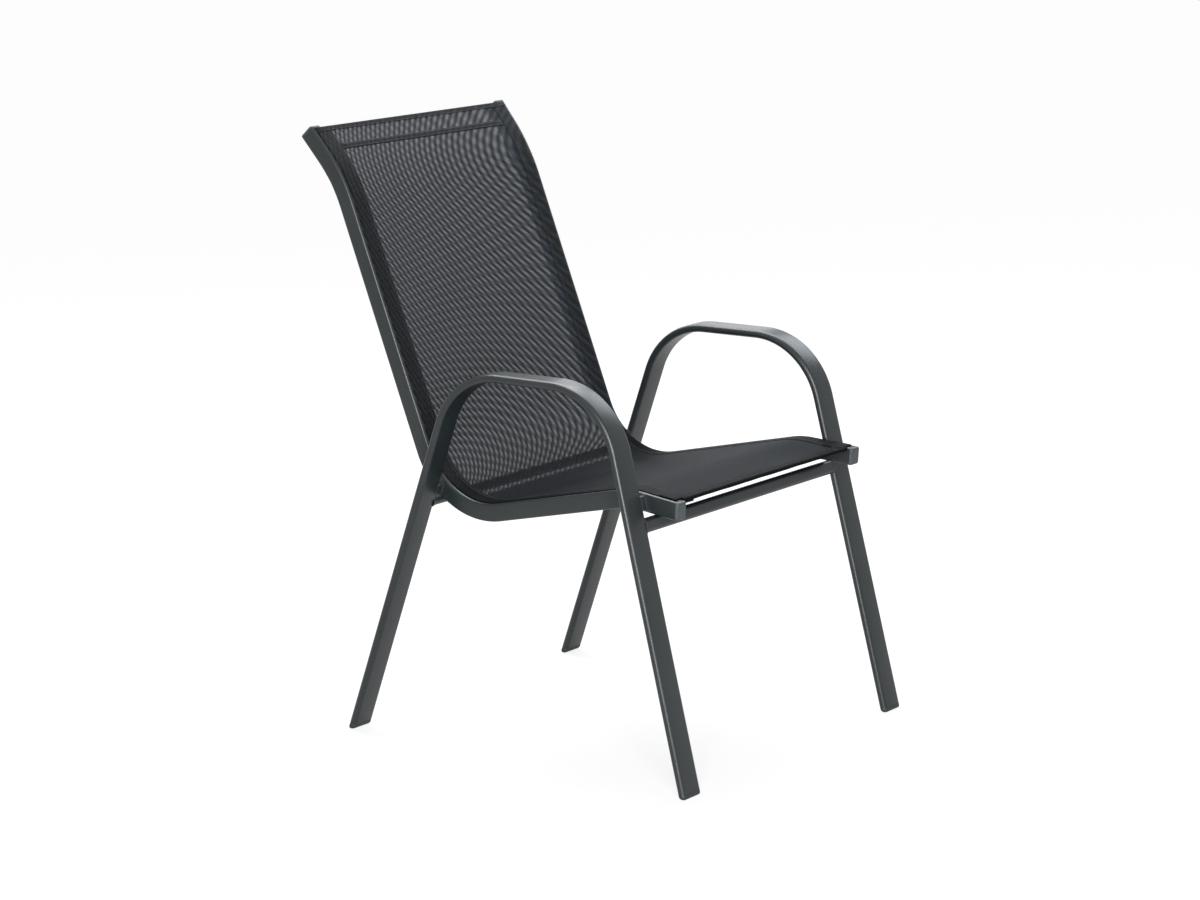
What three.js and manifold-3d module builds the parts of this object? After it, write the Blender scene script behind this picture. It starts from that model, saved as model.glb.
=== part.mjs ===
// A stacking sling chair: two side hoops carry two bent rails, and one mesh sling is
// stretched between the rails as seat and back. Every length is in millimetres.
// X runs to the sitter's left, the sitter faces -Y, Z is up, and the feet stand at Z 0.
import * as THREE from "three";
import { mergeVertices } from "three/addons/utils/BufferGeometryUtils.js";
import Module from "manifold-3d";

// The gap between touching pieces, and how far every cutting shape runs past its cut.
const clearance = 0.3;
const overrun = 12;
const weldDistance = 0.001;

// Side hoop: one flat-oval tube bent into rear leg, arm and front leg.
const tubeWall = 1.2;
const hoopTubeWidth = 43;
const hoopTubeDepth = 12.5;
const legToRailGap = 9.5;
const footSplay = 7;
const frontFootReach = 366;
const rearFootReach = 280;
const armFrontReach = 227;
const armRearReach = 51;
const armFrontHeight = 583;
const armRearHeight = 584;
const armBendRadius = 120;

// Sling rail: one slotted tube bent at the knee, the rear corner and the upper back.
const railWidth = 22;
const railDepth = 27.5;
const railCornerRadius = 4;
const railSpacing = 432;
const kneeReach = 236.5;
const kneeHeight = 420;
const lipLength = 90;
const lipAngle = 5.3;
const seatLength = 365.3;
const seatAngle = 11.85;
const backLength = 546.5;
const backAngle = 69.4;
const flareLength = 87;
const flareAngle = 50;
const kneeBendRadius = 112;
const rearBendRadius = 128;
const upperBendRadius = 260;
const lipSplay = 8;
const flareSplay = 4;

// Sling: the fabric, the rod in its side hem and the slot that holds them.
const slingThickness = 0.8;
const edgeRodDiameter = 5;
const slotFromOuterFace = 6;
const slotPlay = 0.4;
const slingFrontInset = 5;
const slingTopInset = 1;
const slingMidRearBendRadius = 165;
const slingMidKneeBendRadius = 190;

// Crossbars from leg to leg, and the short stubs that tie the rails to the front legs.
const frontBarHeight = 22;
const frontBarDepth = 13;
const frontBarGap = 6;
const rearBarDiameter = 16;
const barSaddle = 3;
const stubHeight = 20;
const stubThickness = 10;

// Plastic ends: rail caps and foot plugs.
const frontCapThickness = 5;
const topCapThickness = 4;
const capEdge = 1.4;
const capPlugLength = 16;
const footHeight = 8;
const footEdge = 4.4;
const footPlugLength = 24;

// Counts: how finely arcs are cut.
const degreesPerBendStep = 10;
const arcSteps = 2;
const barArcSteps = 4;
const rodSides = 8;
const slotSteps = 12;
const slingColumns = 6;

const wasm = await Module();
wasm.setup();

// Materials, from the colours of the photographed chair.
const coatedSteel = new THREE.MeshStandardMaterial({ color: 0x43484a, roughness: 0.45, metalness: 0.6 });
const capPlastic = new THREE.MeshStandardMaterial({ color: 0x50585a, roughness: 0.5, metalness: 0 });
const footPlastic = new THREE.MeshStandardMaterial({ color: 0x3a4042, roughness: 0.55, metalness: 0 });
const meshFabric = new THREE.MeshStandardMaterial({ color: 0x2b2d2f, roughness: 0.8, metalness: 0 });
const rodPlastic = new THREE.MeshStandardMaterial({ color: 0x1c1d1e, roughness: 0.6, metalness: 0 });

const chair = new THREE.Group();

function place(name, geometry, material) {
  const mesh = new THREE.Mesh(geometry, material);
  mesh.name = name;
  chair.add(mesh);
}

// Solids: a closed geometry becomes a solid for cutting and joining, and comes back.
function solidOf(geometry) {
  const bare = new THREE.BufferGeometry();
  bare.setAttribute("position", geometry.getAttribute("position"));
  bare.setIndex(geometry.index);
  const merged = mergeVertices(bare, weldDistance);
  const vertProperties = new Float32Array(merged.getAttribute("position").array);
  const triVerts = new Uint32Array(merged.index.array);
  return new wasm.Manifold(new wasm.Mesh({ numProp: 3, vertProperties, triVerts }));
}

function geometryOf(solid) {
  const { vertProperties, triVerts } = solid.getMesh();
  const geometry = new THREE.BufferGeometry();
  geometry.setAttribute("position", new THREE.BufferAttribute(vertProperties, 3));
  geometry.setIndex(new THREE.BufferAttribute(triVerts, 1));
  const faceted = geometry.toNonIndexed();
  faceted.computeVertexNormals();
  return faceted;
}

// Places in the side view are Vector2 values: x holds Y, and y holds Z.
function stepFrom(start, degrees, length) {
  const angle = THREE.MathUtils.degToRad(degrees);
  const step = new THREE.Vector2(Math.cos(angle), Math.sin(angle)).multiplyScalar(length);
  return start.clone().add(step);
}

function movedTowards(from, to, distance) {
  return from.clone().add(to.clone().sub(from).setLength(distance));
}

// A bent centre line in the side view. Each station holds a point and the direction along.
class BentLine extends THREE.Curve {
  constructor(stations) {
    super();
    this.stations = stations;
  }

  getPointAt(share) {
    return this.stationAt(share).point.clone();
  }

  getTangentAt(share) {
    return this.stationAt(share).along.clone();
  }

  stationAt(share) {
    return this.stations[Math.round(share * (this.stations.length - 1))];
  }

  // A section's x runs along X, and its y runs towards the sitter on a rail, outward on a hoop.
  computeFrenetFrames() {
    const tangents = this.stations.map((station) => station.along);
    const normals = tangents.map(() => new THREE.Vector3(1, 0, 0));
    const binormals = tangents.map((along, i) => along.clone().cross(normals[i]));
    return { tangents, normals, binormals };
  }
}

function station(place, direction, outAt) {
  return {
    point: new THREE.Vector3(outAt(place), place.x, place.y),
    along: new THREE.Vector3(0, direction.x, direction.y).normalize(),
  };
}

// Stations along straight runs and the arcs that round each inner corner. What outAt
// gives for a place is how far it lies outward of the line's plane.
function bentLine(corners, radii, outAt = () => 0) {
  const stations = [];
  const last = corners.length - 1;
  stations.push(station(corners[0], corners[1].clone().sub(corners[0]), outAt));
  for (let i = 1; i < last; i += 1) {
    const before = corners[i].clone().sub(corners[i - 1]).normalize();
    const after = corners[i + 1].clone().sub(corners[i]).normalize();
    const turn = Math.atan2(before.cross(after), before.dot(after));
    const side = new THREE.Vector2(-before.y, before.x).multiplyScalar(Math.sign(turn));
    const run = radii[i - 1] * Math.tan(Math.abs(turn) / 2);
    const arcStart = corners[i].clone().addScaledVector(before, -run);
    const centre = arcStart.clone().addScaledVector(side, radii[i - 1]);
    const steps = Math.ceil(Math.abs(THREE.MathUtils.radToDeg(turn)) / degreesPerBendStep);
    for (let k = 0; k <= steps; k += 1) {
      const turned = (turn * k) / steps;
      const place = arcStart.clone().rotateAround(centre, turned);
      const direction = before.clone().rotateAround(new THREE.Vector2(), turned);
      stations.push(station(place, direction, outAt));
    }
  }
  stations.push(station(corners[last], corners[last].clone().sub(corners[last - 1]), outAt));
  return new BentLine(stations);
}

function sweep(shape, line) {
  return new THREE.ExtrudeGeometry(shape, {
    steps: line.stations.length - 1,
    extrudePath: line,
    curveSegments: arcSteps,
  });
}

// The side view's places on a line that runs beside a bent line, at a distance.
function offsetPlaces(line, distance) {
  const { binormals } = line.computeFrenetFrames();
  return line.stations.map(({ point }, i) => {
    const moved = point.clone().addScaledVector(binormals[i], distance);
    return new THREE.Vector2(moved.y, moved.z);
  });
}

// Where a straight leg, from its foot to its bend, crosses a row of places.
function legCrossing(foot, bend, places) {
  const leg = bend.clone().sub(foot);
  for (let i = 1; i < places.length; i += 1) {
    const before = leg.cross(places[i - 1].clone().sub(foot));
    const after = leg.cross(places[i].clone().sub(foot));
    const crossing = places[i - 1].clone().lerp(places[i], before / (before - after));
    const onLeg = crossing.clone().sub(foot).dot(leg) / leg.lengthSq();
    if (before * after <= 0 && onLeg > 0 && onLeg < 1) return crossing;
  }
  throw new Error("a leg does not cross the rail");
}

// Sections.
function flatOval(width, depth) {
  const radius = depth / 2;
  const straight = width / 2 - radius;
  const outline = new THREE.Shape();
  outline.absarc(straight, 0, radius, -Math.PI / 2, Math.PI / 2);
  outline.absarc(-straight, 0, radius, Math.PI / 2, (3 * Math.PI) / 2);
  return outline;
}

function flatOvalTube(width, depth, wall) {
  const outline = flatOval(width, depth);
  outline.holes.push(flatOval(width - 2 * wall, depth - 2 * wall));
  return outline;
}

function circle(radius) {
  const outline = new THREE.Shape();
  outline.absarc(0, 0, radius, 0, Math.PI);
  outline.absarc(0, 0, radius, Math.PI, 2 * Math.PI);
  return outline;
}

function arcPlaces(centre, radius, startAngle, endAngle, steps) {
  const places = [];
  for (let k = 0; k <= steps; k += 1) {
    const angle = startAngle + ((endAngle - startAngle) * k) / steps;
    places.push(new THREE.Vector2(radius, 0).rotateAround(new THREE.Vector2(), angle).add(centre));
  }
  return places;
}

function roundedBox(width, depth, radius) {
  const x = width / 2 - radius;
  const y = depth / 2 - radius;
  const outline = new THREE.Shape();
  outline.absarc(x, y, radius, 0, Math.PI / 2);
  outline.absarc(-x, y, radius, Math.PI / 2, Math.PI);
  outline.absarc(-x, -y, radius, Math.PI, (3 * Math.PI) / 2);
  outline.absarc(x, -y, radius, (3 * Math.PI) / 2, 2 * Math.PI);
  return outline;
}

// The sling's hem wraps the edge rod inside the rail's slot.
const edgeRodRadius = edgeRodDiameter / 2;
const hemInnerRadius = edgeRodRadius + clearance;
const hemOuterRadius = hemInnerRadius + slingThickness;
const slotBoreRadius = hemOuterRadius + clearance;
const slotThroat = slingThickness + 2 * slotPlay;
const slotX = railWidth / 2 - slotFromOuterFace;
const slotY = railDepth / 2 - tubeWall - slotBoreRadius;
const slotCentre = new THREE.Vector2(slotX, slotY);

// The rail's section for the sitter's left; its +x side faces outward.
function railSection() {
  const x = railWidth / 2;
  const y = railDepth / 2;
  const radius = railCornerRadius;
  const outline = new THREE.Shape();
  outline.moveTo(slotX - slotThroat / 2, y);
  outline.absarc(-x + radius, y - radius, radius, Math.PI / 2, Math.PI);
  outline.absarc(-x + radius, -y + radius, radius, Math.PI, (3 * Math.PI) / 2);
  outline.absarc(x - radius, -y + radius, radius, (3 * Math.PI) / 2, 2 * Math.PI);
  outline.absarc(x - radius, y - radius, radius, 0, Math.PI / 2);
  outline.lineTo(slotX + slotThroat / 2, y);
  const throatAngle = Math.asin(slotThroat / 2 / slotBoreRadius);
  const boreStart = Math.PI / 2 - throatAngle;
  const boreEnd = Math.PI / 2 + throatAngle - 2 * Math.PI;
  for (const place of arcPlaces(slotCentre, slotBoreRadius, boreStart, boreEnd, slotSteps)) {
    outline.lineTo(place.x, place.y);
  }
  outline.closePath();
  outline.holes.push(railHollow(0));
  return outline;
}

// The rail's main hollow goes round the slot; a plug in it is smaller by a clearance.
function railHollow(shrink) {
  const x = railWidth / 2 - tubeWall - shrink;
  const y = railDepth / 2 - tubeWall - shrink;
  const boreSide = slotX - slotBoreRadius - tubeWall - shrink;
  const boreBottom = slotY - slotBoreRadius - tubeWall - shrink;
  const outline = new THREE.Shape();
  outline.moveTo(-x, -y);
  outline.lineTo(x, -y);
  outline.lineTo(x, boreBottom);
  outline.lineTo(boreSide, boreBottom);
  outline.lineTo(boreSide, y);
  outline.lineTo(-x, y);
  outline.closePath();
  return outline;
}

// The two bent centre lines.
const hoopSpacing = railSpacing + railWidth + 2 * legToRailGap + hoopTubeWidth;
const frontFoot = new THREE.Vector2(-frontFootReach, 0);
const rearFoot = new THREE.Vector2(rearFootReach, 0);
const armFront = new THREE.Vector2(-armFrontReach, armFrontHeight);
const armRear = new THREE.Vector2(armRearReach, armRearHeight);

// The hoop runs past both feet, and the floor cut trims it.
const hoopLine = bentLine(
  [
    movedTowards(rearFoot, armRear, -overrun),
    armRear,
    armFront,
    movedTowards(frontFoot, armFront, -overrun),
  ],
  [armBendRadius, armBendRadius],
);

const knee = new THREE.Vector2(-kneeReach, kneeHeight);
const railFront = stepFrom(knee, 180 + lipAngle, lipLength);
const rearCorner = stepFrom(knee, -seatAngle, seatLength);
const upperCorner = stepFrom(rearCorner, backAngle, backLength);
const railTop = stepFrom(upperCorner, flareAngle, flareLength);

// Both ends of a rail splay outward, along the flare and along the lip.
function railSplay(place) {
  const flare = railTop.clone().sub(upperCorner);
  const lip = railFront.clone().sub(knee);
  const alongFlare = place.clone().sub(upperCorner).dot(flare) / flare.lengthSq();
  const alongLip = place.clone().sub(knee).dot(lip) / lip.lengthSq();
  return flareSplay * Math.max(alongFlare, 0) + lipSplay * Math.max(alongLip, 0);
}

// Rails and all that they hold run from the top to the front.
function lineAlongRail(topInset, frontInset, rearRadius, kneeRadius) {
  return bentLine(
    [
      movedTowards(railTop, upperCorner, topInset),
      upperCorner,
      rearCorner,
      knee,
      movedTowards(railFront, knee, frontInset),
    ],
    [upperBendRadius, rearRadius, kneeRadius],
    railSplay,
  );
}

const railLine = lineAlongRail(0, 0, rearBendRadius, kneeBendRadius);
const slingEdgeLine = lineAlongRail(slingTopInset, slingFrontInset, rearBendRadius, kneeBendRadius);
const slingMidLine = lineAlongRail(
  slingTopInset,
  slingFrontInset,
  slingMidRearBendRadius,
  slingMidKneeBendRadius,
);

// A hoop leans outward towards its feet, about its arm.
const hoopLean = Math.atan2(footSplay, armRearHeight);

function leanedHoopGeometry(geometry, side) {
  const toArm = new THREE.Matrix4().makeTranslation(0, 0, -armRearHeight);
  const lean = new THREE.Matrix4().makeRotationY(-side * hoopLean);
  const back = new THREE.Matrix4().makeTranslation((side * hoopSpacing) / 2, 0, armRearHeight);
  return geometry.applyMatrix4(back.multiply(lean).multiply(toArm));
}

// Boxes that hold everything below or above a height.
const cutterSize = 2 * (frontFootReach + rearFootReach + hoopSpacing);

function everythingBelow(height) {
  const box = new THREE.BoxGeometry(cutterSize, cutterSize, cutterSize);
  return solidOf(box.translate(0, 0, height - cutterSize / 2));
}

function everythingAbove(height) {
  const box = new THREE.BoxGeometry(cutterSize, cutterSize, cutterSize);
  return solidOf(box.translate(0, 0, height + cutterSize / 2));
}

function sideHoop(side) {
  const tube = sweep(flatOvalTube(hoopTubeWidth, hoopTubeDepth, tubeWall), hoopLine);
  return geometryOf(solidOf(leanedHoopGeometry(tube, side)).subtract(everythingBelow(footHeight)));
}

// The space that a hoop takes up, with a clearance round it, for cutting what meets it.
function hoopEnvelope(side) {
  const outline = flatOval(hoopTubeWidth + 2 * clearance, hoopTubeDepth + 2 * clearance);
  return solidOf(leanedHoopGeometry(sweep(outline, hoopLine), side));
}

// What is swept along a rail's line is drawn for the sitter's left, and mirrored for the right.
function railSideSolid(geometry, side) {
  const solid = side > 0 ? solidOf(geometry) : solidOf(geometry).mirror([1, 0, 0]);
  return solid.translate([(side * railSpacing) / 2, 0, 0]);
}

function slingRail(side) {
  return geometryOf(railSideSolid(sweep(railSection(), railLine), side));
}

function railEnvelope(side) {
  const outline = roundedBox(railWidth + 2 * clearance, railDepth + 2 * clearance, railCornerRadius);
  return railSideSolid(sweep(outline, railLine), side);
}

// A crossbar is a tube from leg to leg, and each end is saddled round its leg.
function hoopInnerX(height) {
  const leaned = footSplay * (1 - height / armRearHeight);
  return hoopSpacing / 2 + leaned - hoopTubeWidth / 2;
}

function crossbar(outline, foot, bend, railOffset) {
  const centre = legCrossing(foot, bend, offsetPlaces(railLine, -railOffset));
  const length = 2 * (hoopInnerX(centre.y) + barSaddle);
  const tube = new THREE.ExtrudeGeometry(outline, {
    depth: length,
    bevelEnabled: false,
    curveSegments: barArcSteps,
  });
  tube.translate(0, 0, -length / 2);
  tube.rotateY(Math.PI / 2);
  tube.rotateX(bend.clone().sub(foot).angle() - Math.PI / 2);
  tube.translate(0, centre.x, centre.y);
  return geometryOf(solidOf(tube).subtract(hoopEnvelope(-1)).subtract(hoopEnvelope(1)));
}

// The front bar hangs a little below the rails, with its long side along the legs.
function frontCrossbar() {
  const outline = flatOvalTube(frontBarHeight, frontBarDepth, tubeWall);
  const offset = railDepth / 2 + frontBarGap + frontBarHeight / 2;
  return crossbar(outline, frontFoot, armFront, offset);
}

// The rails rest on the round rear bar.
function rearCrossbar() {
  const outline = circle(rearBarDiameter / 2);
  outline.holes.push(circle(rearBarDiameter / 2 - tubeWall));
  return crossbar(outline, rearFoot, armRear, railDepth / 2 + clearance + rearBarDiameter / 2);
}

// A stub stands where the front leg crosses the rail, and lies along the leg.
function frontStub(side) {
  const centre = legCrossing(frontFoot, armFront, offsetPlaces(railLine, 0));
  const leg = armFront.clone().sub(frontFoot);
  const inner = railSpacing / 2;
  const outer = hoopInnerX(centre.y) + hoopTubeDepth / 2;
  const box = new THREE.BoxGeometry(outer - inner, stubHeight, stubThickness);
  box.rotateX(leg.angle());
  box.translate((side * (inner + outer)) / 2, centre.x, centre.y);
  return geometryOf(solidOf(box).subtract(hoopEnvelope(side)).subtract(railEnvelope(side)));
}

// The rail's ends, each with its next station and whether the rail's line runs out of it.
const { stations } = railLine;
const railEnds = {
  top: { end: stations[0], next: stations[1], outward: -1, thickness: topCapThickness },
  front: { end: stations.at(-1), next: stations.at(-2), outward: 1, thickness: frontCapThickness },
};

// A geometry drawn along +Z from the origin is set on a rail's end and follows its splay.
function setOnRailEnd(geometry, side, { end, next, outward }) {
  const zAxis = end.point.clone().sub(next.point);
  zAxis.divideScalar(Math.hypot(zAxis.y, zAxis.z));
  zAxis.x *= side;
  const yAxis = end.along.clone().cross(new THREE.Vector3(1, 0, 0));
  const xAxis = new THREE.Vector3(outward, 0, 0);
  const matrix = new THREE.Matrix4().makeBasis(xAxis, yAxis, zAxis);
  const { x, y, z } = end.point;
  matrix.setPosition(side * (railSpacing / 2 + x), y, z);
  return geometry.applyMatrix4(matrix);
}

function mirroredShape(shape) {
  const { shape: outline } = shape.extractPoints(arcSteps);
  return new THREE.Shape(outline.map((place) => new THREE.Vector2(-place.x, place.y)));
}

// A cap's plug fills the rail's hollow, and its head closes the end and the slot.
function railCap(side, railEnd) {
  const head = new THREE.ExtrudeGeometry(
    roundedBox(railWidth - 2 * capEdge, railDepth - 2 * capEdge, railCornerRadius - capEdge),
    {
      depth: railEnd.thickness - 2 * capEdge,
      bevelThickness: capEdge,
      bevelSize: capEdge,
      bevelSegments: 2,
      curveSegments: arcSteps,
    },
  );
  head.translate(0, 0, capEdge + clearance);
  const hollow = railHollow(clearance);
  const facesLeft = side * railEnd.outward > 0;
  const plug = new THREE.ExtrudeGeometry(facesLeft ? hollow : mirroredShape(hollow), {
    depth: capPlugLength + clearance + capEdge,
    bevelEnabled: false,
  });
  plug.translate(0, 0, -capPlugLength);
  const cap = geometryOf(solidOf(head).add(solidOf(plug)));
  return setOnRailEnd(cap, side, railEnd);
}

// A foot's head carries on its leg's outline down to the floor, where it is flat.
function footHead(side, foot, leg) {
  const lengthened = hoopTubeDepth / leg.y;
  const head = new THREE.ExtrudeGeometry(
    flatOval(hoopTubeWidth - 2 * footEdge, lengthened - 2 * footEdge),
    {
      depth: footHeight + overrun,
      bevelThickness: footEdge,
      bevelSize: footEdge,
      bevelSegments: 3,
      curveSegments: arcSteps,
    },
  );
  head.translate(0, 0, footEdge);
  const splay = (-side * footSplay) / armRearHeight;
  head.applyMatrix4(new THREE.Matrix4().makeShear(0, 0, 0, 0, splay, leg.x / leg.y));
  head.translate(side * (hoopSpacing / 2 + footSplay), foot.x, 0);
  return solidOf(head).subtract(everythingAbove(footHeight - clearance));
}

// A foot's plug goes up inside the leg.
function footPlug(side, foot, bend) {
  const leg = bend.clone().sub(foot).normalize();
  const width = hoopTubeWidth - 2 * (tubeWall + clearance);
  const depth = hoopTubeDepth - 2 * (tubeWall + clearance);
  const plug = new THREE.ExtrudeGeometry(flatOval(width, depth), {
    depth: footHeight + footPlugLength,
    bevelEnabled: false,
    curveSegments: arcSteps,
  });
  plug.rotateX(leg.angle() - Math.PI / 2);
  plug.translate(0, foot.x, foot.y);
  const trimmed = solidOf(leanedHoopGeometry(plug, side)).subtract(everythingBelow(footEdge));
  return geometryOf(trimmed.add(footHead(side, foot, leg)));
}

// Sling: a thin skin. Its section is a row of pairs, a place on top and one below it.
const slingBottom = railDepth / 2 + clearance;
const slingTop = slingBottom + slingThickness;

// The side hem goes down the slot's throat and round the rod.
function hemPairs() {
  const half = slingThickness / 2;
  const outerStart = Math.PI / 2 - Math.asin(half / hemOuterRadius);
  const innerStart = Math.PI / 2 + Math.asin(half / hemInnerRadius);
  const end = Math.PI / 2 + Math.asin((half + clearance) / hemInnerRadius) - 2 * Math.PI;
  const outer = arcPlaces(slotCentre, hemOuterRadius, outerStart, end, slotSteps);
  const inner = arcPlaces(slotCentre, hemInnerRadius, innerStart, end, slotSteps);
  const corner = {
    top: new THREE.Vector2(slotX + half, slingTop),
    under: new THREE.Vector2(slotX - half, slingBottom),
  };
  return [corner, ...outer.map((top, i) => ({ top, under: inner[i] }))];
}

// The whole row, from the sitter's right hem across the free span to the left hem.
function slingPairs() {
  const moved = (place, side) => new THREE.Vector2(side * (railSpacing / 2 + place.x), place.y);
  const hem = (side) =>
    hemPairs().map(({ top, under }) => ({ top: moved(top, side), under: moved(under, side) }));
  const innerEdge = railSpacing / 2 - railWidth / 2;
  const span = [];
  for (let k = 0; k <= slingColumns; k += 1) {
    const x = innerEdge * ((2 * k) / slingColumns - 1);
    span.push({ top: new THREE.Vector2(x, slingTop), under: new THREE.Vector2(x, slingBottom) });
  }
  return [...hem(-1).reverse(), ...span, ...hem(1)];
}

// Beside the rails the sling follows them; in the middle it cuts their bends.
function slingPoint(place, k) {
  const { binormals } = slingEdgeLine.computeFrenetFrames();
  const atEdge = slingEdgeLine.stations[k].point.clone().addScaledVector(binormals[k], place.y);
  const atMiddle = slingMidLine.stations[k].point.clone().addScaledVector(binormals[k], place.y);
  const across = THREE.MathUtils.clamp(place.x / (railSpacing / 2 - railWidth / 2), -1, 1);
  const point = atMiddle.lerp(atEdge, across ** 2);
  return [place.x + across * atEdge.x, point.y, point.z];
}

function sling() {
  const pairs = slingPairs();
  const row = 2 * pairs.length;
  const rows = slingEdgeLine.stations.length;
  const positions = [];
  for (let k = 0; k < rows; k += 1) {
    for (const { top, under } of pairs) {
      positions.push(...slingPoint(top, k), ...slingPoint(under, k));
    }
  }
  const triangles = [];
  const quad = (a, b, c, d) => triangles.push(a, b, c, a, c, d);
  const last = row * (rows - 1);
  for (let i = 0; i + 2 < row; i += 2) {
    quad(i, i + 2, i + 3, i + 1);
    quad(last + i, last + i + 1, last + i + 3, last + i + 2);
  }
  for (let start = 0; start < last; start += row) {
    const next = start + row;
    for (let i = 0; i + 2 < row; i += 2) {
      quad(start + i, next + i, next + i + 2, start + i + 2);
      quad(start + i + 1, start + i + 3, next + i + 3, next + i + 1);
    }
    quad(start, start + 1, next + 1, next);
    quad(start + row - 1, start + row - 2, next - 2 + row, next - 1 + row);
  }
  const geometry = new THREE.BufferGeometry();
  geometry.setAttribute("position", new THREE.Float32BufferAttribute(positions, 3));
  geometry.setIndex(triangles);
  return geometryOf(solidOf(geometry));
}

function edgeRod(side) {
  const places = arcPlaces(slotCentre, edgeRodRadius, 0, 2 * Math.PI, rodSides);
  const rod = sweep(new THREE.Shape(places.slice(0, -1)), slingEdgeLine);
  return geometryOf(railSideSolid(rod, side));
}

const sides = { right: -1, left: 1 };

for (const [name, side] of Object.entries(sides)) {
  place(`side_hoop_${name}`, sideHoop(side), coatedSteel);
  place(`sling_rail_${name}`, slingRail(side), coatedSteel);
  place(`front_stub_${name}`, frontStub(side), coatedSteel);
  place(`rail_top_cap_${name}`, railCap(side, railEnds.top), capPlastic);
  place(`rail_front_cap_${name}`, railCap(side, railEnds.front), capPlastic);
  place(`front_foot_${name}`, footPlug(side, frontFoot, armFront), footPlastic);
  place(`rear_foot_${name}`, footPlug(side, rearFoot, armRear), footPlastic);
  place(`edge_rod_${name}`, edgeRod(side), rodPlastic);
}
place("front_crossbar", frontCrossbar(), coatedSteel);
place("rear_crossbar", rearCrossbar(), coatedSteel);
place("sling", sling(), meshFabric);

// The origin lies on the floor, in the middle of the chair's own box.
const box = new THREE.Box3().setFromObject(chair);
chair.position.y = -(box.min.y + box.max.y) / 2;

export default chair;
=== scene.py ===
import math

import bmesh
import bpy
import numpy as np
from mathutils import Matrix, Vector
from mathutils.geometry import tessellate_polygon


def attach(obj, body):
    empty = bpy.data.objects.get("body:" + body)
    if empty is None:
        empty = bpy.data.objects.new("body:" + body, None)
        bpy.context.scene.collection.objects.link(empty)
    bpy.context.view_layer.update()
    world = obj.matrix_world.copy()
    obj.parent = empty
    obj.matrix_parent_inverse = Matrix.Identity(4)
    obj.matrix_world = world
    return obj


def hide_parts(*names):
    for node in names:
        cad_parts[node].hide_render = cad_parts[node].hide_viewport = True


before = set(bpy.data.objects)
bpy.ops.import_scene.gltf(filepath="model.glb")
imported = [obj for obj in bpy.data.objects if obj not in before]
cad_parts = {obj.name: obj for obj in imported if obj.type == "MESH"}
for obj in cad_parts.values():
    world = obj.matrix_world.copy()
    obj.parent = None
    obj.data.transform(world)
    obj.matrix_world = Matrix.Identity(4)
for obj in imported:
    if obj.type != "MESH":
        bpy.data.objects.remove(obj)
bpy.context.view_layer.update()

# Sizes in millimetres, as in the CAD model. X runs to the sitter's left, Y to the back, and
# Y_SHIFT is how far the CAD model was moved to stand over its own middle.
MM = 0.001
Y_SHIFT = -4.9711
GAP = 0.3
WALL = 1.2
SIDES = {"right": -1, "left": 1}

HOOP_WIDTH, HOOP_DEPTH, HOOP_X = 43.0, 12.5, 258.0
FOOT_SPLAY = 7.0
FRONT_FOOT, REAR_FOOT = (-366.0, 0.0), (280.0, 0.0)
ARM_FRONT, ARM_REAR, ARM_BEND = (-227.0, 583.0), (51.0, 584.0), 120.0

RAIL_WIDTH, RAIL_DEPTH, RAIL_CORNER, RAIL_X = 22.0, 27.5, 4.0, 216.0
KNEE = (-236.5, 420.0)
LIP, LIP_ANGLE, LIP_SPLAY = 90.0, 5.3, 8.0
SEAT, SEAT_ANGLE = 365.3, 11.85
BACK, BACK_ANGLE = 546.5, 69.4
FLARE, FLARE_ANGLE, FLARE_SPLAY = 87.0, 50.0, 4.0
KNEE_BEND, REAR_BEND, UPPER_BEND = 112.0, 128.0, 260.0
MID_REAR_BEND, MID_KNEE_BEND = 165.0, 190.0

SLOT_X, SLOT_Y, SLOT_BORE, THROAT = 5.0, 8.65, 3.9, 1.6
HEM_RADIUS = 3.2
TOP_INSET, FRONT_INSET = 1.0, 5.0

FRONT_BAR_WIDTH, FRONT_BAR_DEPTH, FRONT_BAR_GAP = 22.0, 13.0, 6.0
REAR_BAR_RADIUS = 8.0
SADDLE = 3.0
STUB_WIDTH, STUB_DEPTH = 20.0, 10.0
TOP_CAP, FRONT_CAP, CAP_PLUG = 4.0, 5.0, 16.0
FOOT_HEIGHT, FOOT_EDGE = 8.0, 4.4

# Sizes that only this script has, in millimetres.
FOOT_SEAM, PLUG_STRAIGHT, PLUG_TIP, PLUG_TAPER = 0.35, 27.0, 29.0, 1.0
CAP_SEAM, CAP_ROUND_SHARE, CAP_FACE_INSET, CAP_FACE_CORNER, CAP_FACE_RISE = 0.25, 0.62, 0.8, 1.2, 0.2
BAR_STRAIGHT = 230.0
BAR_WELD, STUB_WELD = 1.5, 1.4
WELD_RIPPLE, WELD_CUT = 1.6, 0.55
STUB_CORNER, STUB_STRAIGHT, STUB_SEAM, STUB_GAP = 1.2, 4.0, 0.2, 0.1
TIE_WIDTH, TIE_DEPTH, TIE_CORNER, TIE_RISE = 23.0, 9.0, 2.0, 17.0
REST_WELD_RISE, REST_WELD_APART, REST_WELD_REACH = 7.0, 4.0, 9.5

BEND_STEP = math.radians(2.5)

# The photograph's view, fitted to the chair's outlines: the photograph's size, the focal length
# and the view's middle in its pixels, the angles in degrees, the target in millimetres and the
# distance in metres.
PHOTO_WIDTH, PHOTO_HEIGHT = 1200, 900
FOCAL_LENGTH, MIDDLE_X, MIDDLE_Y = 3131.16, 594.87, 461.73
AZIMUTH, ELEVATION, ROLL = -51.48, 11.92, -1.5
TARGET, DISTANCE = (0.0, -0.57, 406.1), 4.8682
SENSOR = 36


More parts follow.
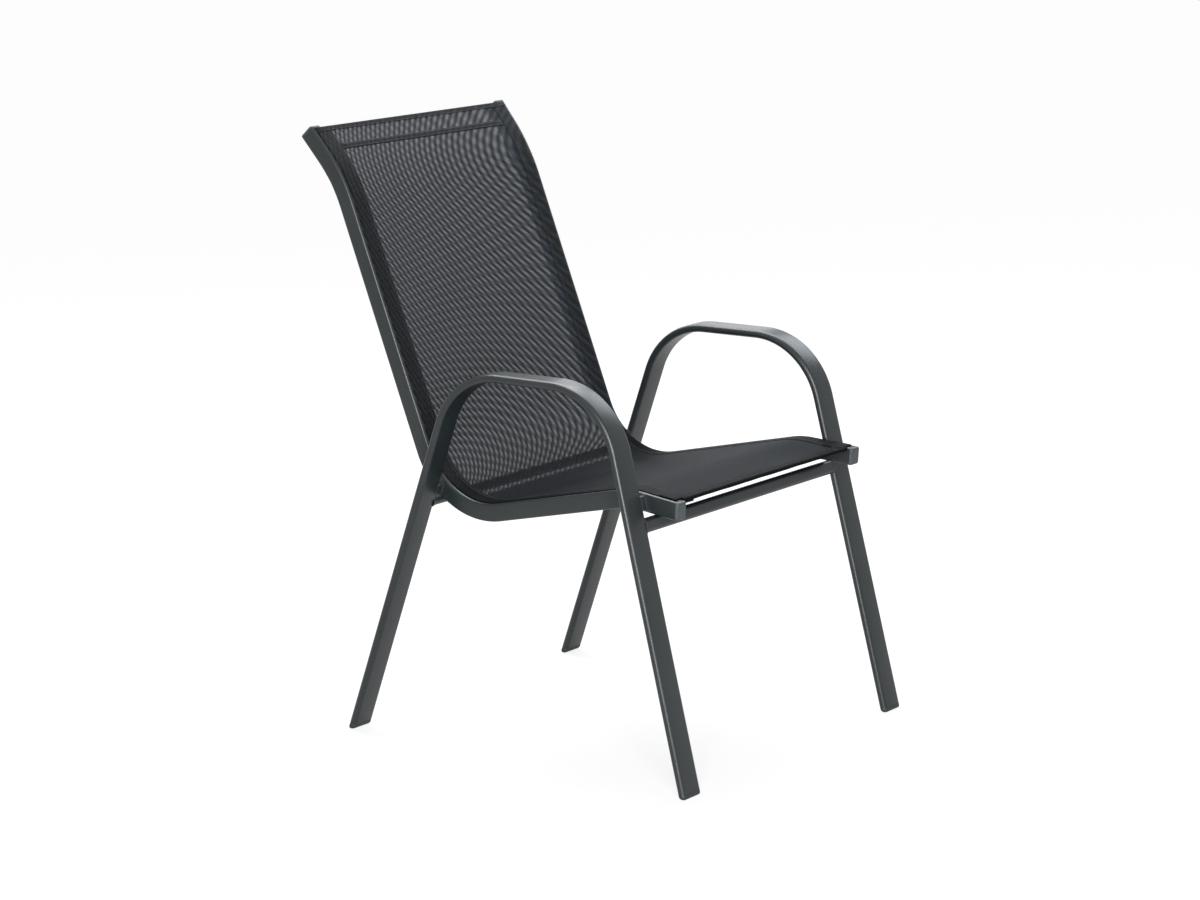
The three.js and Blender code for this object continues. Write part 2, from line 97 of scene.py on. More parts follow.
def add_camera():
    azimuth, elevation, roll = (math.radians(a) for a in (AZIMUTH, ELEVATION, ROLL))
    level_share = math.cos(elevation)
    back = Vector((math.sin(azimuth) * level_share, -math.cos(azimuth) * level_share, math.sin(elevation)))
    level = Vector((math.cos(azimuth), math.sin(azimuth), 0))
    rise = back.cross(level)
    right = math.cos(roll) * level + math.sin(roll) * rise
    up = -math.sin(roll) * level + math.cos(roll) * rise
    data = bpy.data.cameras.new("Camera")
    data.sensor_width = SENSOR
    data.lens = FOCAL_LENGTH / PHOTO_WIDTH * SENSOR
    data.shift_x = (PHOTO_WIDTH / 2 - MIDDLE_X) / PHOTO_WIDTH
    data.shift_y = (MIDDLE_Y - PHOTO_HEIGHT / 2) / PHOTO_WIDTH
    camera = bpy.data.objects.new("Camera", data)
    bpy.context.scene.collection.objects.link(camera)
    place = Vector(TARGET) * MM + back * DISTANCE
    camera.matrix_world = Matrix.Translation(place) @ Matrix((right, up, back)).transposed().to_4x4()
    bpy.context.scene.camera = camera


add_camera()


class Tree:
    """Short ways to write a material's nodes."""

    def __init__(self, name):
        self.material = bpy.data.materials.new(name)
        self.material.use_nodes = True
        self.tree = self.material.node_tree
        self.bsdf = self.tree.nodes["Principled BSDF"]

    def node(self, kind, **settings):
        made = self.tree.nodes.new(kind)
        for key, value in settings.items():
            setattr(made, key, value)
        return made

    def put(self, value, socket):
        if isinstance(value, (int, float, tuple)):
            socket.default_value = value
        else:
            self.tree.links.new(value, socket)

    def math(self, operation, a, b=0.0, c=0.0, clamp=False):
        made = self.node("ShaderNodeMath", operation=operation, use_clamp=clamp)
        for value, socket in zip((a, b, c), made.inputs):
            self.put(value, socket)
        return made.outputs[0]

    def noise(self, scale, detail, roughness=0.5):
        made = self.node("ShaderNodeTexNoise")
        made.inputs["Scale"].default_value = scale
        made.inputs["Detail"].default_value = detail
        made.inputs["Roughness"].default_value = roughness
        self.put(self.node("ShaderNodeTexCoord").outputs["Object"], made.inputs["Vector"])
        return made.outputs["Fac"]

    def span(self, value, low, high, out_low, out_high):
        """A value that goes from low to high, turned into one from out_low to out_high."""
        made = self.node("ShaderNodeMapRange")
        ends = {"From Min": low, "From Max": high, "To Min": out_low, "To Max": out_high}
        for key, number in ends.items():
            self.put(number, made.inputs[key])
        self.put(value, made.inputs["Value"])
        return made.outputs["Result"]

    def blend(self, share, first, second):
        made = self.node("ShaderNodeMix", data_type="RGBA")
        self.put(share, made.inputs["Factor"])
        self.put(first, made.inputs[6])
        self.put(second, made.inputs[7])
        return made.outputs[2]

    def bump(self, height, distance, strength):
        made = self.node("ShaderNodeBump")
        made.inputs["Strength"].default_value = strength
        made.inputs["Distance"].default_value = distance
        self.put(height, made.inputs["Height"])
        self.put(made.outputs["Normal"], self.bsdf.inputs["Normal"])

    def set(self, **sockets):
        for key, value in sockets.items():
            self.put(value, self.bsdf.inputs[key.replace("_", " ")])
        return self.material


def rgba(text):
    """The linear light of a colour that is written as it looks on a screen."""
    parts = [int(text[i:i + 2], 16) / 255 for i in (1, 3, 5)]
    return tuple(p / 12.92 if p <= 0.04045 else ((p + 0.055) / 1.055) ** 2.4 for p in parts) + (1.0,)


def powder_coat():
    t = Tree("powder_coat")
    cloud = t.noise(9.0, 4.0)
    speck = t.noise(1400.0, 2.0)
    peel = t.noise(620.0, 2.0, 0.4)
    shade = t.blend(t.span(cloud, 0.35, 0.65, 0.0, 1.0), rgba("#202628"), rgba("#272d2f"))
    shade = t.blend(t.span(speck, 0.62, 0.75, 0.0, 0.35), shade, rgba("#565e61"))
    t.bump(t.math("ADD", peel, t.math("MULTIPLY", speck, 0.35)), 0.00025, 0.35)
    return t.set(Base_Color=shade, Metallic=0.0, Roughness=t.span(cloud, 0.3, 0.7, 0.29, 0.35))


def moulded_plastic(name, dark, light, roughness):
    t = Tree(name)
    cloud = t.noise(30.0, 3.0)
    grain = t.noise(2200.0, 2.0)
    shade = t.blend(t.span(cloud, 0.3, 0.7, 0.0, 1.0), rgba(dark), rgba(light))
    t.bump(grain, 0.0002, 0.5)
    return t.set(Base_Color=shade, Roughness=t.span(cloud, 0.3, 0.7, roughness - 0.05, roughness + 0.05))


# The weave. Its coordinates are u across the chair and s down the sheet from the top edge, in
# hundreds of millimetres. YARN and the waves' spacings across and down are in millimetres.
YARN = 2.2

# The woven figure, with values measured in the photograph and rounded: a slow wave and a weaker
# second one, counted from FIGURE_MIDDLE. A fan is how many waves are lost 100 mm from the chair's
# middle, and a twist how many come on 100 mm across and 100 mm down. The turns are about what the
# first and the second wave gain in 100 mm from where the sheet bends, at the flare and at the
# seat. Past its run a bend counts as a line.
FIRST_ACROSS, FIRST_DOWN, FIRST_FAN = 12.8, 21.0, 0.8
SECOND_DOWN, SECOND_TWIST = 17.0, 1.2
FIGURE_MIDDLE = 3.0
FLARE_AT, FLARE_RUN, FLARE_TURNS = 1.35, 0.9, (-6.5, 2.0)
SEAT_AT, SEAT_RUN, SEAT_TURNS = 5.33, 0.7, (13.0, 2.0)
BOTH_SHARE, BOTH_DELAY = 0.46, 0.4

# What changes over the cloth, down it but for the painted light on the sitter's left, which is across: from
# one place to another, from one value to another.
SECOND_SHARE = (4.0, 5.2, 0.22, 0.45)
FIGURE_SHARE = (6.2, 7.0, 1.0, 0.25)
# Painted shade: from the foot of the back down over the seat, the yarns are painted much darker, for the
# shade that the back casts on the seat's rear.
PAINTED_CORNER_SHADE = (5.4, 6.1, 1.0, 0.15)
# Painted sheen: the seat's middle and front are painted lighter, for the white surroundings that they
# reflect at a low angle.
PAINTED_SEAT_SHEEN = (6.7, 7.4, 1.0, 2.0)
# Painted light: on the sitter's left, from about 176 mm out from the middle, the cloth and the hem there are
# painted lighter.
PAINTED_FAR_HEM_LIGHT = (1.7, 1.76, 1.0, 1.6)
CLOTH_ROUGHNESS = (6.0, 7.0, 0.68, 0.52)
CLOTH_GLOSS = (5.5, 6.2, 0.12, 0.035)
CLOTH_SHEEN = (5.5, 6.2, 0.04, 0.0)
BACK_OPENING = (0.2, 4.6, 0.78, 0.56)
CORNER_OPENING = (5.0, 5.8, 1.0, 0.95)
SEAT_OPENING = (6.43, 6.48, 1.0, 0.06)

# The least opening of the mesh, how it grows away from a yarn's middle (in shares of the yarns'
# spacing), and how solid the sheet's lower skin is.
LEAST_OPENING, OPENING_EDGE, LOWER_SKIN = 0.02, (0.1, 0.5, 0.0, 1.0), 0.12


def figure_of(t, u, s):
    """The weave's slow figure, about -1.3 to 1.9."""

    def bend(way, run):
        """The way's square up to the run, and a straight line past it."""
        near = t.math("MINIMUM", way, run)
        return t.math("MULTIPLY", near, t.math("SUBTRACT", t.math("MULTIPLY", way, 2.0), near))

    flare = bend(t.math("MAXIMUM", t.math("SUBTRACT", FLARE_AT, s), 0.0), FLARE_RUN)
    seat = bend(t.math("MAXIMUM", t.math("SUBTRACT", s, SEAT_AT), 0.0), SEAT_RUN)
    v = t.math("SUBTRACT", s, FIGURE_MIDDLE)

    def wave(waves, flare_turn, seat_turn):
        waves = t.math("MULTIPLY_ADD", flare, flare_turn, waves)
        waves = t.math("MULTIPLY_ADD", seat, seat_turn, waves)
        return t.math("MULTIPLY", waves, 2 * math.pi)

    across = t.math("MULTIPLY", u, t.math("MULTIPLY_ADD", u, -FIRST_FAN, 100.0 / FIRST_ACROSS))
    first = wave(t.math("MULTIPLY_ADD", v, -100.0 / FIRST_DOWN, across), FLARE_TURNS[0], SEAT_TURNS[0])
    down = t.math("MULTIPLY_ADD", u, SECOND_TWIST, -100.0 / SECOND_DOWN)
    second = wave(t.math("MULTIPLY", v, down), FLARE_TURNS[1], SEAT_TURNS[1])
    both = t.math("SUBTRACT", t.math("ADD", first, second), BOTH_DELAY)
    figure = t.math("MULTIPLY_ADD", t.math("COSINE", both), BOTH_SHARE, t.math("COSINE", first))
    return t.math("MULTIPLY_ADD", t.math("COSINE", second), t.span(s, *SECOND_SHARE), figure)


def weave(t):
    """The figure, the yarns' height, the way to the nearest yarn, and the place across and down."""
    uv = t.node("ShaderNodeUVMap", uv_map="Weave").outputs["UV"]
    split = t.node("ShaderNodeSeparateXYZ")
    t.put(uv, split.inputs[0])
    u = t.math("MULTIPLY", split.outputs["X"], 10.0)
    s = t.math("MULTIPLY", split.outputs["Y"], 10.0)
    figure = figure_of(t, u, s)
    figure = t.math("MULTIPLY", figure, t.span(s, *FIGURE_SHARE))
    across = t.math("MULTIPLY", u, 100.0 / YARN)
    down = t.math("MULTIPLY", s, 100.0 / YARN)
    to_warp = t.math("PINGPONG", t.math("ADD", across, 0.5), 0.5)
    to_weft = t.math("PINGPONG", t.math("ADD", down, 0.5), 0.5)
    swings = [t.math("COSINE", t.math("MULTIPLY", way, math.pi)) for way in (across, down)]
    over = t.math("MULTIPLY", *swings)
    yarns = []
    for way, rise in ((to_warp, 0.4), (to_weft, -0.4)):
        round_yarn = t.math("SUBTRACT", 1.0, t.math("POWER", t.math("MULTIPLY", way, 2.2), 2.0))
        yarns.append(t.math("MULTIPLY", round_yarn, t.math("MULTIPLY_ADD", over, rise, 0.6)))
    height = t.math("MAXIMUM", *yarns)
    nearest = t.math("MINIMUM", to_warp, to_weft)
    return figure, height, nearest, u, s


def fabric(name, dark, light, open_share=None, open_figure=0.0):
    """Cloth. With an open share, light passes between its yarns, more or less as the figure goes,
    and its lower skin lets nearly all of it pass, so that the two skins look like one cloth."""
    t = Tree(name)
    figure, height, nearest, u, s = weave(t)
    shine = t.span(figure, -1.2, 1.6, 0.0, 1.0)
    # Painted shade and highlight: the yarns are painted darker down their sides and where they dip under a
    # crossing yarn, and lighter on their crowns.
    yarn = t.span(height, 0.2, 1.0, 0.35, 1.0)
    dust = t.noise(14.0, 4.0)
    worn = t.span(dust, 0.3, 0.7, 0.85, 1.1)
    share = t.math("MULTIPLY", t.math("MULTIPLY", shine, yarn), worn, clamp=True)
    # Painted light and shade in the yarns' colour: darker from the foot of the back over the seat, lighter
    # on the sitter's left beside the hem, and lighter over the seat's middle and front.
    for place, change in ((s, PAINTED_CORNER_SHADE), (u, PAINTED_FAR_HEM_LIGHT), (s, PAINTED_SEAT_SHEEN)):
        share = t.math("MULTIPLY", share, t.span(place, *change))
    t.bump(height, 0.0004, 0.6)
    if open_share is not None:
        hole = t.math("MULTIPLY", t.math("MULTIPLY_ADD", figure, open_figure, 1.0), open_share)
        hole = t.math("MULTIPLY", hole, t.span(s, *BACK_OPENING))
        hole = t.math("MULTIPLY", hole, t.span(s, *CORNER_OPENING))
        hole = t.math("MULTIPLY", t.math("MAXIMUM", hole, LEAST_OPENING), t.span(s, *SEAT_OPENING))
        hole = t.math("MULTIPLY", hole, t.span(nearest, *OPENING_EDGE))
        lower = t.node("ShaderNodeAttribute", attribute_name="Skin").outputs["Fac"]
        solid = t.span(lower, 0.0, 1.0, 1.0, LOWER_SKIN)
        t.set(Alpha=t.math("MINIMUM", t.math("SUBTRACT", 1.0, hole), solid))
    t.set(Roughness=t.span(s, *CLOTH_ROUGHNESS), Specular_IOR_Level=t.span(s, *CLOTH_GLOSS))
    t.set(Sheen_Weight=t.span(s, *CLOTH_SHEEN), Sheen_Roughness=0.4, Sheen_Tint=(0.8, 0.88, 1.0, 1.0))
    return t.set(Base_Color=t.blend(share, rgba(dark), rgba(light)))


def thread():
    t = Tree("sewing_thread")
    twist = t.noise(1800.0, 2.0)
    t.bump(twist, 0.0002, 0.6)
    return t.set(Base_Color=t.blend(twist, rgba("#1b1c1e"), rgba("#3b3d40")), Roughness=0.6)


COAT = powder_coat()
CAP = moulded_plastic("cap_plastic", "#3c4345", "#474e50", 0.42)
FOOT = moulded_plastic("foot_plastic", "#24282a", "#2c3032", 0.5)
ROD = moulded_plastic("rod_plastic", "#17181a", "#1f2123", 0.5)
MESH = fabric("sling_mesh", "#0c1013", "#41474f", 0.37, 0.85)
HEM = fabric("sling_hem", "#050607", "#272c30")
THREAD = thread()


def piece(name, material, points, faces, nodes=(), uvs=None, sharp=35.0, skin=None):
    """A piece from points in millimetres. Its edges over the sharp angle, in degrees, stay sharp."""
    mesh = bpy.data.meshes.new(name)
    mesh.from_pydata([(x * MM, (y + Y_SHIFT) * MM, z * MM) for x, y, z in points], [], faces)
    if uvs is not None:
        layer = mesh.uv_layers.new(name="Weave")
        index = np.empty(len(mesh.loops), dtype=np.int64)
        mesh.loops.foreach_get("vertex_index", index)
        layer.data.foreach_set("uv", (np.asarray(uvs)[index] * MM).ravel())
    if skin is not None:
        mesh.attributes.new("Skin", "FLOAT", "POINT").data.foreach_set("value", skin)
    work = bmesh.new()
    work.from_mesh(mesh)
    bmesh.ops.recalc_face_normals(work, faces=work.faces)
    for face in work.faces:
        face.smooth = True
    for edge in work.edges:
        edge.smooth = len(edge.link_faces) == 2 and edge.calc_face_angle(0.0) < math.radians(sharp)
    work.to_mesh(mesh)
    work.free()
    mesh.materials.append(material)
    made = bpy.data.objects.new(name, mesh)
    bpy.context.scene.collection.objects.link(made)
    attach(made, "root")
    if nodes:
        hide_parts(*nodes)
    return made


class Shell:
    """Points and faces that one piece gathers before it is made."""

    def __init__(self):
        self.points, self.faces = [], []

    def add(self, points, faces):
        start = len(self.points)
        self.points.extend(tuple(p) for p in points)
        self.faces.extend(tuple(i + start for i in face) for face in faces)

    def loft(self, rings, ends=True, round_trip=False):
        """Joins rings of equal counts; the two end rings are closed by flat faces."""
        count = len(rings[0])
        faces = []
        last = len(rings) if round_trip else len(rings) - 1
        for k in range(last):
            low, high = k * count, (k + 1) % len(rings) * count
            for i in range(count):
                j = (i + 1) % count
                faces.append((low + i, low + j, high + j, high + i))
        if ends and not round_trip:
            faces.append(tuple(range(count)))
            faces.append(tuple(range((len(rings) - 1) * count, len(rings) * count)))
        self.add([p for ring in rings for p in ring], faces)

    def pipe(self, outer, inner):
        """Joins outer rings and inner rings, and closes the two ends between them."""
        start = len(self.points)
        self.loft(outer, ends=False)
        inside = len(self.points)
        self.loft(inner, ends=False)
        for k in (0, -1):
            names = []
            for first, rings in ((start, outer), (inside, inner)):
                count = len(rings[0])
                names += [first + k % len(rings) * count + i for i in range(count)]
            for triangle in tessellate_polygon([[Vector(p) for p in rings[k]] for rings in (outer, inner)]):
                self.faces.append(tuple(names[i] for i in triangle))


def arc(centre, radius, start, end, steps):
    angles = np.linspace(start, end, steps + 1)
    return [(centre[0] + radius * math.cos(a), centre[1] + radius * math.sin(a)) for a in angles]


def circle(radius, steps):
    return arc((0, 0), radius, 0, 2 * math.pi, steps)[:-1]


def flat_oval(width, depth, steps=12):
    radius = depth / 2
    straight = width / 2 - radius
    half = math.pi / 2
    right = arc((straight, 0), radius, -half, half, steps)
    return right + arc((-straight, 0), radius, half, 3 * half, steps)


def rounded_box(width, depth, radius, steps=6):
    x, y, quarter = width / 2 - radius, depth / 2 - radius, math.pi / 2
    corners = ((x, y), (-x, y), (-x, -y), (x, -y))
    return [p for i, c in enumerate(corners) for p in arc(c, radius, i * quarter, (i + 1) * quarter, steps)]


def lengths_along(places):
    """The length from the first place to each of them."""
    steps = np.linalg.norm(np.diff(np.array(places), axis=0), axis=1)
    return np.concatenate(((0,), np.cumsum(steps)))


class Line:
    """A bent line in the side view: its places (y, z), directions and lengths along."""

    def __init__(self, corners, radii, cuts, outward=None):
        corners = [np.array(c, dtype=float) for c in corners]
        places, directions = [], []

        def straight(start, end, count):
            direction = (end - start) / np.linalg.norm(end - start)
            for share in np.linspace(0, 1, count + 1)[:-1]:
                places.append(start + (end - start) * share)
                directions.append(direction)

        here = corners[0]
        for i in range(1, len(corners) - 1):
            before = (corners[i] - corners[i - 1]) / np.linalg.norm(corners[i] - corners[i - 1])
            after = (corners[i + 1] - corners[i]) / np.linalg.norm(corners[i + 1] - corners[i])
            turn = math.atan2(before[0] * after[1] - before[1] * after[0], before @ after)
            run = radii[i - 1] * math.tan(abs(turn) / 2)
            start = corners[i] - before * run
            centre = start + np.array((-before[1], before[0])) * math.copysign(radii[i - 1], turn)
            straight(here, start, cuts[i - 1])
            steps = math.ceil(abs(turn) / BEND_STEP)
            for k in range(steps):
                c, s = math.cos(turn * k / steps), math.sin(turn * k / steps)
                spin = np.array(((c, -s), (s, c)))
                places.append(centre + spin @ (start - centre))
                directions.append(spin @ before)
            here = corners[i] + after * run
        straight(here, corners[-1], cuts[-1])
        last = corners[-1] - corners[-2]
        places.append(corners[-1])
        directions.append(last / np.linalg.norm(last))
        self.places, self.directions = np.array(places), np.array(directions)
        self.out = np.array([outward(p) if outward else 0.0 for p in self.places])
        self.points = np.column_stack((self.out, self.places))
        self.tops = np.column_stack((0 * self.out, self.directions[:, 1], -self.directions[:, 0]))
        self.lengths = lengths_along(self.places)


def step_from(start, degrees, length):
    angle = math.radians(degrees)
    return (start[0] + length * math.cos(angle), start[1] + length * math.sin(angle))


def towards(start, end, distance):
    start, end = np.array(start), np.array(end)
    return start + (end - start) / np.linalg.norm(end - start) * distance


RAIL_FRONT = step_from(KNEE, 180 + LIP_ANGLE, LIP)
REAR_CORNER = step_from(KNEE, -SEAT_ANGLE, SEAT)
UPPER_CORNER = step_from(REAR_CORNER, BACK_ANGLE, BACK)
RAIL_TOP = step_from(UPPER_CORNER, FLARE_ANGLE, FLARE)


def rail_splay(place):
    share = 0.0
    for start, end, splay in ((UPPER_CORNER, RAIL_TOP, FLARE_SPLAY), (KNEE, RAIL_FRONT, LIP_SPLAY)):
        run = np.array(end) - np.array(start)
        share += splay * max(0.0, float((place - np.array(start)) @ run / (run @ run)))
    return share


def along_rail(top, front, rear_radius, knee_radius):
    ends = [towards(RAIL_TOP, UPPER_CORNER, top), towards(RAIL_FRONT, KNEE, front)]
    corners = [ends[0], UPPER_CORNER, REAR_CORNER, KNEE, ends[1]]
    return Line(corners, [UPPER_BEND, rear_radius, knee_radius], [6, 24, 12, 6], rail_splay)


rail_line = along_rail(0, 0, REAR_BEND, KNEE_BEND)
edge_line = along_rail(TOP_INSET, FRONT_INSET, REAR_BEND, KNEE_BEND)
mid_line = along_rail(TOP_INSET, FRONT_INSET, MID_REAR_BEND, MID_KNEE_BEND)
hoop_line = Line([REAR_FOOT, ARM_REAR, ARM_FRONT, FRONT_FOOT], [ARM_BEND, ARM_BEND], [10, 6, 10])


# Side hoops.
LEAN = math.atan2(FOOT_SPLAY, ARM_REAR[1])


def leaned(point, side):
    x, y, z = point
    angle = -side * LEAN
    z -= ARM_REAR[1]
    return np.array((
        side * HOOP_X + x * math.cos(angle) + z * math.sin(angle),
        y,
        ARM_REAR[1] - x * math.sin(angle) + z * math.cos(angle),
    ))


def hoop_ring(k, outline, side):
    point, top = hoop_line.points[k], hoop_line.tops[k]
    return [leaned(point + np.array((x, 0, 0)) + y * top, side) for x, y in outline]


def slid_to(ring, side, k, height):
    """A ring whose points slide along the leg to one height."""
    direction = leaned((0, *hoop_line.directions[k]), side) - leaned((0, 0, 0), side)
    return [p + direction * ((height - p[2]) / direction[2]) for p in ring]


def hoop_rings(outline, side):
    count = len(hoop_line.points)
    rings = [hoop_ring(k, outline, side) for k in range(count)]
    rings[0] = slid_to(rings[0], side, 0, FOOT_HEIGHT)
    rings[-1] = slid_to(rings[-1], side, count - 1, FOOT_HEIGHT)
    return rings


for name, side in SIDES.items():
    shell = Shell()
    outer = hoop_rings(flat_oval(HOOP_WIDTH, HOOP_DEPTH), side)
    inner = hoop_rings(flat_oval(HOOP_WIDTH - 2 * WALL, HOOP_DEPTH - 2 * WALL), side)
    shell.pipe(outer, inner)
    piece(f"hoop_{name}", COAT, shell.points, shell.faces, [f"side_hoop_{name}"])


# Feet: a head that carries on the leg's outline to the floor, and a plug inside the leg.
def foot(name, side, k):
    shell = Shell()
    rings = []
    profile = []
    for a in np.linspace(0, math.pi / 2, 6):
        profile.append((FOOT_EDGE * (1 - math.sin(a)), FOOT_EDGE * (1 - math.cos(a))))
    profile += [(0.0, FOOT_HEIGHT - 1.0), (FOOT_SEAM, FOOT_HEIGHT - GAP)]
    for inset, height in profile:
        outline = flat_oval(HOOP_WIDTH - 2 * inset, HOOP_DEPTH - 2 * inset)
        rings.append(slid_to(hoop_ring(k, outline, side), side, k, height))
    wide, narrow = WALL + GAP, WALL + GAP + PLUG_TAPER
    for inset, height in ((wide, FOOT_HEIGHT - GAP), (wide, PLUG_STRAIGHT), (narrow, PLUG_TIP)):
        outline = flat_oval(HOOP_WIDTH - 2 * inset, HOOP_DEPTH - 2 * inset)
        rings.append(slid_to(hoop_ring(k, outline, side), side, k, height))
    shell.loft(rings)
    piece(f"{name}_plug", FOOT, shell.points, shell.faces, [name])


for name, side in SIDES.items():
    foot(f"rear_foot_{name}", side, 0)
    foot(f"front_foot_{name}", side, len(hoop_line.points) - 1)


# Rails.
def on_rail(k, x, y, side):
    point, top = rail_line.points[k], rail_line.tops[k]
    return np.array((side * (RAIL_X + point[0] + x), point[1] + y * top[1], point[2] + y * top[2]))


def rail_outline():
    x, y, r, quarter = RAIL_WIDTH / 2, RAIL_DEPTH / 2, RAIL_CORNER, math.pi / 2
    lip = 0.35
    outline = [(SLOT_X - THROAT / 2, y - lip), (SLOT_X - THROAT / 2 - lip, y)]
    outline += arc((-x + r, y - r), r, quarter, 2 * quarter, 6)
    outline += arc((-x + r, -y + r), r, 2 * quarter, 3 * quarter, 6)
    outline += arc((x - r, -y + r), r, 3 * quarter, 4 * quarter, 6)
    outline += arc((x - r, y - r), r, 0, quarter, 6)
    outline += [(SLOT_X + THROAT / 2 + lip, y), (SLOT_X + THROAT / 2, y - lip)]
    open_angle = math.asin(THROAT / 2 / SLOT_BORE)
    outline += arc((SLOT_X, SLOT_Y), SLOT_BORE, quarter - open_angle, quarter + open_angle - 4 * quarter, 20)
    return outline


def rail_hollow(shrink=0.0):
    x = RAIL_WIDTH / 2 - WALL - shrink
    y = RAIL_DEPTH / 2 - WALL - shrink
    side = SLOT_X - SLOT_BORE - WALL - shrink
    bottom = SLOT_Y - SLOT_BORE - WALL - shrink
    return [(-x, -y), (x, -y), (x, bottom), (side, bottom), (side, y), (-x, y)]


for name, side in SIDES.items():
    shell = Shell()
    count = len(rail_line.points)
    outline, hollow = rail_outline(), rail_hollow()
    outer = [[on_rail(k, x, y, side) for x, y in outline] for k in range(count)]
    inner = [[on_rail(k, x, y, side) for x, y in hollow] for k in range(count)]
    shell.pipe(outer, inner)
    piece(f"rail_{name}", COAT, shell.points, shell.faces, [f"sling_rail_{name}"])


def rail_cap(name, side, k, thickness):
    """A rounded head on the rail's end, and a plug inside it."""
    neighbour = 1 if k == 0 else k - 1
    away = rail_line.points[k] - rail_line.points[neighbour]
    away /= np.linalg.norm(away[1:])
    away[0] *= side

    def ring(outline, distance):
        return [on_rail(k, x, y, side) + away * distance for x, y in outline]

    shell = Shell()
    edge = thickness * CAP_ROUND_SHARE
    profile = [(CAP_SEAM, GAP), (0.0, GAP + 0.3), (0.0, GAP + thickness - edge)]
    for a in np.linspace(0, math.pi / 2, 6)[1:]:
        profile.append((edge - edge * math.cos(a), GAP + thickness - edge + edge * math.sin(a)))
    rings = []
    for inset, distance in profile:
        outline = rounded_box(RAIL_WIDTH - 2 * inset, RAIL_DEPTH - 2 * inset, RAIL_CORNER - inset)
        rings.append(ring(outline, distance))
    inset = edge + CAP_FACE_INSET
    face = rounded_box(RAIL_WIDTH - 2 * inset, RAIL_DEPTH - 2 * inset, CAP_FACE_CORNER)
    for rise in (0.0, CAP_FACE_RISE):
        rings.append(ring(face, GAP + thickness + rise))
    shell.loft(rings)
    hollow = rail_hollow(GAP)
    shell.loft([ring(hollow, -CAP_PLUG), ring(hollow, GAP + thickness / 3)])
    piece(f"{name}_moulded", CAP, shell.points, shell.faces, [name])


for name, side in SIDES.items():
    rail_cap(f"rail_top_cap_{name}", side, 0, TOP_CAP)
    rail_cap(f"rail_front_cap_{name}", side, len(rail_line.points) - 1, FRONT_CAP)


# Welds.
def bead(shell, places, radius, closed=True, sides=8):
    """A bead of small ripples along a closed or open row of places."""
    places = np.array(places, dtype=float)
    if closed:
        places = np.vstack((places, places[:1]))
    lengths = lengths_along(places)
    count = max(12, int(lengths[-1] / WELD_CUT))
    spots = np.linspace(0, lengths[-1], count, endpoint=not closed)
    line = np.column_stack([np.interp(spots, lengths, places[:, i]) for i in range(3)])
    middle = line.mean(axis=0)
    angles = np.linspace(0, 2 * math.pi, sides + 1)[:-1]
    rings = []
    for i, spot in enumerate(spots):
        before = line[i - 1] if closed or i else line[i]
        after = line[(i + 1) % count] if closed or i < count - 1 else line[i]
        along = after - before
        along /= np.linalg.norm(along)
        out = line[i] - middle
        out -= along * (out @ along)
        out /= np.linalg.norm(out) + 1e-9
        up = np.cross(along, out)
        size = radius * (1 + 0.10 * math.sin(2 * math.pi * spot / WELD_RIPPLE))
        if not closed:
            size *= math.sqrt(max(0.05, 1 - (2 * spot / lengths[-1] - 1) ** 6))
        rings.append([line[i] + size * (math.cos(a) * out + math.sin(a) * up) for a in angles])
    shell.loft(rings, ends=not closed, round_trip=closed)


# Crossbars: tubes from leg to leg, each end saddled round its leg.
def inner_x(height):
    return HOOP_X + FOOT_SPLAY * (1 - height / ARM_REAR[1]) - HOOP_WIDTH / 2


def leg_crossing(foot_place, bend_place, offset):
    """Where a line under the rail's, the offset below it, crosses a leg, and the leg's direction."""
    places = rail_line.places - rail_line.tops[:, 1:] * offset
    start, leg = np.array(foot_place), np.array(bend_place) - np.array(foot_place)
    beside = leg[0] * (places[:, 1] - start[1]) - leg[1] * (places[:, 0] - start[0])
    found = []
    for i in range(1, len(places)):
        if beside[i - 1] * beside[i] > 0:
            continue
        place = places[i - 1] + (places[i] - places[i - 1]) * beside[i - 1] / (beside[i - 1] - beside[i])
        if 0 < (place - start) @ leg / (leg @ leg) < 1:
            found.append(place)
    return found[0], leg / np.linalg.norm(leg)


def bar_end(outline, centre, leg, side):
    """The outline (along the leg, across it) where a bar meets the leg's round side."""
    across = np.array((leg[1], -leg[0]))
    radius = HOOP_DEPTH / 2
    ring = []
    for a, b in outline:
        place = centre + leg * a + across * b
        depth = radius - math.sqrt(max(0.0, radius ** 2 - min(abs(b), radius) ** 2))
        ring.append(np.array((side * (inner_x(place[1]) + min(SADDLE, depth)), place[0], place[1])))
    return ring


def crossbar(name, outline, hollow, centre, leg, node):
    shell = Shell()
    tubes = []
    for shape in (outline, hollow):
        ends = {side: bar_end(shape, centre, leg, side) for side in (-1, 1)}
        rings = [ends[-1]]
        for x in np.linspace(-BAR_STRAIGHT, BAR_STRAIGHT, 9):
            rings.append([np.array((x, p[1], p[2])) for p in ends[1]])
        tubes.append(rings + [ends[1]])
    shell.pipe(*tubes)
    piece(name, COAT, shell.points, shell.faces, [node])
    for word, side in SIDES.items():
        welds = Shell()
        bead(welds, bar_end(outline, centre, leg, side), BAR_WELD)
        piece(f"{name}_weld_{word}", COAT, welds.points, welds.faces)


below_rail = RAIL_DEPTH / 2 + FRONT_BAR_GAP + FRONT_BAR_WIDTH / 2
front_bar_at, front_leg = leg_crossing(FRONT_FOOT, ARM_FRONT, below_rail)
outline = flat_oval(FRONT_BAR_WIDTH, FRONT_BAR_DEPTH)
hollow = flat_oval(FRONT_BAR_WIDTH - 2 * WALL, FRONT_BAR_DEPTH - 2 * WALL)
crossbar("front_bar", outline, hollow, front_bar_at, front_leg, "front_crossbar")

